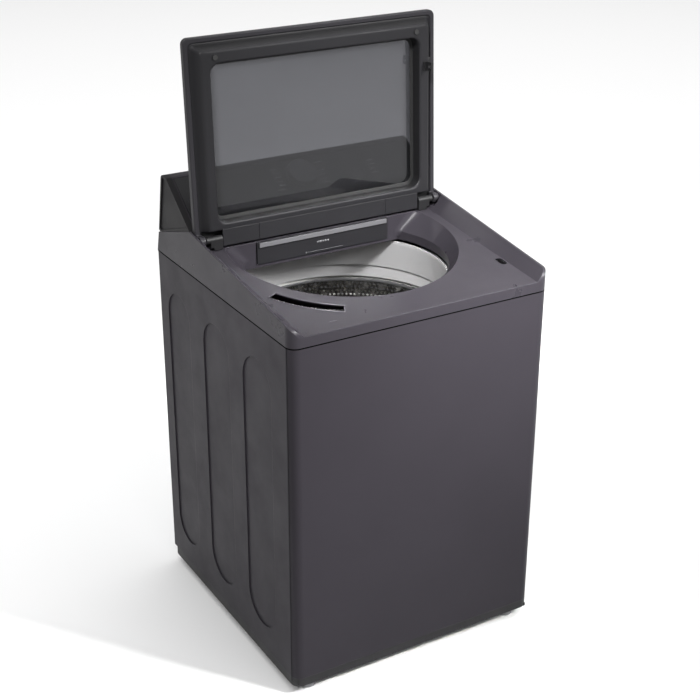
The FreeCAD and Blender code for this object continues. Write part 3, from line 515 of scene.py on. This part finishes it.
def deck_details():
    """The glossy lip of the bleach slot, lighter in tone as a painted highlight, painted shadow lines along
    the seams round the cabinet, and the dimple in the deck.
    """
    bm = bmesh.new()
    bead(bm, slot_path(*SLOT, 0.0002), 1.7 * MM)
    piece("bleach_slot_lip", mesh_of(bm, "bleach_slot_lip"), "cover_plastic", "housing", material=LIP_GLOSS_AND_HIGHLIGHT)
    bm = bmesh.new()
    # Near-black strips along the cover's seam and down the front corners: painted shadow of the seam gaps.
    swept(bm, [(SEAM_HALF, -350.15, 349.6, 24, 1, z, z) for z in (908.2, 909.8, 911.2)], Matrix())
    front, back, low, high = -332.9, -331.3, 36, 909
    for side in (-1, 1):
        strip = [Vector((side * SEAM_HALF, y, z)) * MM
                 for y, z in ((front, low), (back, low), (back, high), (front, high))]
        bm.faces.new([bm.verts.new(p) for p in strip])
    piece("cover_seam_shadow", mesh_of(bm, "cover_seam_shadow"), "black_band", "housing", material=SEAM_SHADOW)
    bm = bmesh.new()
    lathe(bm, [(0.01, 0.55), (3, 0.5), (5, 0.3), (6, -0.2)], 32,
          Matrix.Translation((DIMPLE_X, DIMPLE_Y, deck(DIMPLE_Y))) @ Matrix.Diagonal((2.0, 0.8, 1, 1)),
          closed=False)
    piece("deck_dimple", mesh_of(bm, "deck_dimple"), "cover_plastic", "housing")


deck_details()


# ---------------------------------------------------------------- basket and balance ring

def perforated_basket():
    """The stainless wall: staggered round holes in a quilted sheet, and the floor under the wash plate."""
    columns, rows, low, high, radius = 148, 46, 265.5, 776.0, 260.6
    hole_radius, quilt_depth = 3.1, 1.6
    pitch = 2 * math.pi / columns
    step = (high - low) / rows
    bm = bmesh.new()

    def wall(angle, z):
        quilt = math.cos(angle * columns / 4) * math.cos(math.pi * (z - low) / (step * 2))
        r = radius - quilt_depth - quilt_depth * quilt
        return bm.verts.new(Vector((r * math.cos(angle), r * math.sin(angle), z)) * MM)

    lines = [[wall(k * pitch / 2, low + j * step) for k in range(2 * columns)] for j in range(rows + 1)]
    for j in range(rows):
        shift = j % 2
        mids = [wall((c + shift / 2) * pitch, low + (j + 0.5) * step) for c in range(columns)]
        for c in range(columns):
            k = 2 * c + shift
            under, over = lines[j], lines[j + 1]
            size = 2 * columns
            outer = [under[k % size], under[(k + 1) % size], under[(k + 2) % size], mids[(c + 1) % columns],
                     over[(k + 2) % size], over[(k + 1) % size], over[k % size], mids[c]]
            centre_angle = (c + shift / 2 + 0.5) * pitch
            centre_z = low + (j + 0.5) * step
            hole = []
            for i in range(8):
                a = math.radians(225 + 45 * i)
                hole.append(wall(centre_angle + hole_radius * math.cos(a) / radius,
                                 centre_z + hole_radius * math.sin(a)))
            for i in range(8):
                m = (i + 1) % 8
                bm.faces.new((outer[i], outer[m], hole[m], hole[i]))
    lathe(bm, [(259.5, 265.5), (256, 264.6), (200, 264.4)], 96, Matrix(), closed=False)
    piece("basket_perforated", mesh_of(bm, "basket"), "stainless", "basket", "wash_basket",
          material=BASKET_STEEL)


def balance_rim():
    """The rim above the basket, with small lugs round its top."""
    bm = bmesh.new()
    lathe(bm, [(260.9, 752.6), (261.6, 752.6), (261.8, 781), (260.6, 783.2), (258, 783.8), (256.4, 782.6),
               (256.2, 778), (257, 775.8), (260.9, 775.8)], 144, Matrix())
    lugs = 14
    for i in range(lugs):
        plate(bm, (254.5, -7, 777), (260.5, 7, 783.9), Matrix.Rotation(2 * math.pi * i / lugs, 4, "Z"), 0.8)
    # Dark finish: painted shade of the shadowed rim.
    weighted(piece("balance_rim", mesh_of(bm, "balance_rim"), "light_plastic", "basket", "balance_ring",
                   material=RIM_PAINTED_SHADE))


perforated_basket()
balance_rim()


# ---------------------------------------------------------------- printed marks, none of them readable

# Positions on the console's face in millimetres: across from its middle and up from its foot.
KNOB_UP, KEY_UP, POWER_X, START_X = 98, 80, -110, 155
PRINT_LOW, PRINT_THICK = 0.02, 0.12
DASH_GAP = 1.6
# On the drawer's face: where the dashes start, and the dot with its line and the line's length.
DRAWER_WORD = (-20.0, 945.0)
DRAWER_LINE = (-50.0, 925.0, 100.0)


def bar(bm, x, up, width, height, place):
    """A thin raised bar, open underneath."""
    low = Vector((x, up, PRINT_LOW))
    outline = ((0, 0), (width, 0), (width, height), (0, height))
    corners = [low + Vector((dx, dy, dz)) for dz in (0, PRINT_THICK) for dx, dy in outline]
    v = [bm.verts.new(place @ (c * MM)) for c in corners]
    for quad in ((4, 5, 6, 7), (0, 1, 5, 4), (1, 2, 6, 5), (2, 3, 7, 6), (3, 0, 4, 7)):
        bm.faces.new([v[i] for i in quad])


def ring_mark(bm, x, up, radius, line, place, start=0.0, sweep=360.0):
    """A thin raised ring or, when the line is nearly as wide as the radius, a dot."""
    inner, top = radius - line, PRINT_LOW + PRINT_THICK
    lathe(bm, [(inner, PRINT_LOW), (inner, top), (radius, top), (radius, PRINT_LOW)], 28,
          place @ Matrix.Translation((x * MM, up * MM, 0)), start, sweep)


def dashes(bm, x, up, lengths, place, height=2.2, gap=DASH_GAP):
    """A short row of dashes in place of a word."""
    for length in lengths:
        bar(bm, x, up, length, height, place)
        x += length + gap


def console_marks():
    """Rows of dashes beside the knob, dots round it, and rings round the two keys."""
    bm = bmesh.new()
    widths = ((5, 8, 4), (9, 6), (4, 4, 9), (7, 10), (5, 5, 6), (11, 5))
    for row, lengths in enumerate(widths):
        total = sum(lengths) + DASH_GAP * (len(lengths) - 1)
        end_row = row in (0, len(widths) - 1)
        up = 66 + 12.5 * row
        dashes(bm, -50 - total - (6 if end_row else 0), up, lengths, CONSOLE)
        dashes(bm, 49 + (5 if end_row else 0), up, widths[5 - row], CONSOLE)
    dot_circle = 44.5
    for i in range(24):
        a = math.radians(15 * i)
        ring_mark(bm, dot_circle * math.cos(a), KNOB_UP + dot_circle * math.sin(a), 0.9, 0.88, CONSOLE)
    for x in (POWER_X, START_X):
        ring_mark(bm, x, KEY_UP, 13.5, 0.8, CONSOLE)
    for i in range(4):
        ring_mark(bm, 129 + 8 * i, 60, 1.3, 1.28, CONSOLE)
        dashes(bm, 126 + 8 * i, 52, (5,), CONSOLE, 1.5)
    for row in range(4):
        dashes(bm, 196, 70 + 13 * row, widths[row], CONSOLE)
    piece("console_marks", mesh_of(bm, "console_marks"), "light_plastic", "housing", material=CONSOLE_MARK)
    key_face = CONSOLE @ Matrix.Translation((0, 0, 1.5 * MM))
    for x, body, name, sweep in ((POWER_X, "power_key", "power_key_mark", 300),
                                 (START_X, "start_key", "start_key_mark", 360)):
        bm = bmesh.new()
        ring_mark(bm, x, KEY_UP, 4.2, 0.7, key_face, 120, sweep)
        bar(bm, x - 0.4, KEY_UP, 0.8, 5, key_face)
        piece(name, mesh_of(bm, name), "light_plastic", body, material=CONSOLE_MARK)
    bm = bmesh.new()
    bar(bm, -0.9, KNOB_UP + 22, 1.8, 11, CONSOLE @ Matrix.Translation((0, 0, 22.8 * MM)))
    piece("knob_pointer", mesh_of(bm, "knob_pointer"), "light_plastic", "knob", material=CONSOLE_MARK)


def drawer_marks():
    """Dashes in place of the word on the drawer, and the dot and line under it."""
    bm = bmesh.new()
    face = Matrix.Translation((0, 0.111, 0)) @ Matrix.Rotation(math.radians(90), 4, "X")
    dashes(bm, DRAWER_WORD[0], DRAWER_WORD[1], (5, 8, 3.5, 7, 5), face, 5.0, 1.4)
    ring_mark(bm, DRAWER_LINE[0], DRAWER_LINE[1], 2.6, 2.58, face)
    bar(bm, DRAWER_LINE[0] + 4, DRAWER_LINE[1] - 0.4, DRAWER_LINE[2], 0.9, face)
    piece("drawer_marks", mesh_of(bm, "drawer_marks"), "light_plastic", "drawer", material=MARK)


console_marks()
drawer_marks()


# ---------------------------------------------------------------- floor, light and camera

def aimed(obj, target):
    """Turns a light to face a point."""
    obj.rotation_mode = "QUATERNION"
    obj.rotation_quaternion = (Vector(target) - obj.location).to_track_quat("-Z", "Y")
    return obj


def softbox(name, place, target, size, power):
    """A rectangular area light of a size in metres and a power in watts."""
    light = bpy.data.lights.new(name, "AREA")
    light.shape = "RECTANGLE"
    light.size, light.size_y = size
    light.energy = power
    obj = bpy.data.objects.new(name, light)
    obj.location = place
    bpy.context.scene.collection.objects.link(obj)
    return aimed(obj, target)


def floor():
    """A plain white floor, which only the studio shows."""
    bm = bmesh.new()
    bmesh.ops.create_grid(bm, x_segments=8, y_segments=8, size=60)
    obj = bpy.data.objects.new("floor", mesh_of(bm, "floor"))
    bpy.context.scene.collection.objects.link(obj)
    n = Nodes("floor")
    n.link(n.ranged(n.noise(0.4, 2.0), 0.3, 0.7, 0.85, 0.9), n.shader, "Roughness")
    n.shader.inputs["Base Color"].default_value = (0.97, 0.97, 0.97, 1)
    obj.data.materials.append(n.material)


floor()
world = bpy.data.worlds.new("studio")
world.use_nodes = True
world.node_tree.nodes["Background"].inputs["Color"].default_value = (1, 1, 1, 1)
world.node_tree.nodes["Background"].inputs["Strength"].default_value = 0.62
bpy.context.scene.world = world
softbox("sky", (0.0, 0.0, 8.0), (0, 0, 0), (16.0, 16.0), 740)
key = softbox("key", (-1.5, -1.9, 3.3), (0.42, 0.10, 0.90), (0.9, 0.9), 5.2)
key.data.spread = math.radians(12)
front = softbox("front", (1.5, -2.2, 2.6), (0.16, -0.35, 0.90), (0.8, 0.8), 12)
front.data.spread = math.radians(30)

CAMERA_PLACE = (-1.62117, -2.76819, 2.17885)
AZIMUTH, TILT, ROLL = math.radians(30.511), math.radians(24.837), math.radians(0.2017)
forward = Vector((math.sin(AZIMUTH) * math.cos(TILT), math.cos(AZIMUTH) * math.cos(TILT), -math.sin(TILT)))
right = forward.cross(Vector((0, 0, 1))).normalized()
up = right.cross(forward)
side = right * math.cos(ROLL) + up * math.sin(ROLL)
top = up * math.cos(ROLL) - right * math.sin(ROLL)
camera = bpy.data.objects.new("camera", bpy.data.cameras.new("camera"))
bpy.context.scene.collection.objects.link(camera)
rotation = Matrix((side, top, -forward)).transposed()
camera.matrix_world = Matrix.Translation(CAMERA_PLACE) @ rotation.to_4x4()
camera.data.sensor_width = 36
camera.data.lens = 73.17103
camera.data.clip_start, camera.data.clip_end = 0.05, 300
camera.data.dof.use_dof = False
bpy.context.scene.camera = camera
bpy.context.scene.view_settings.view_transform = "Standard"
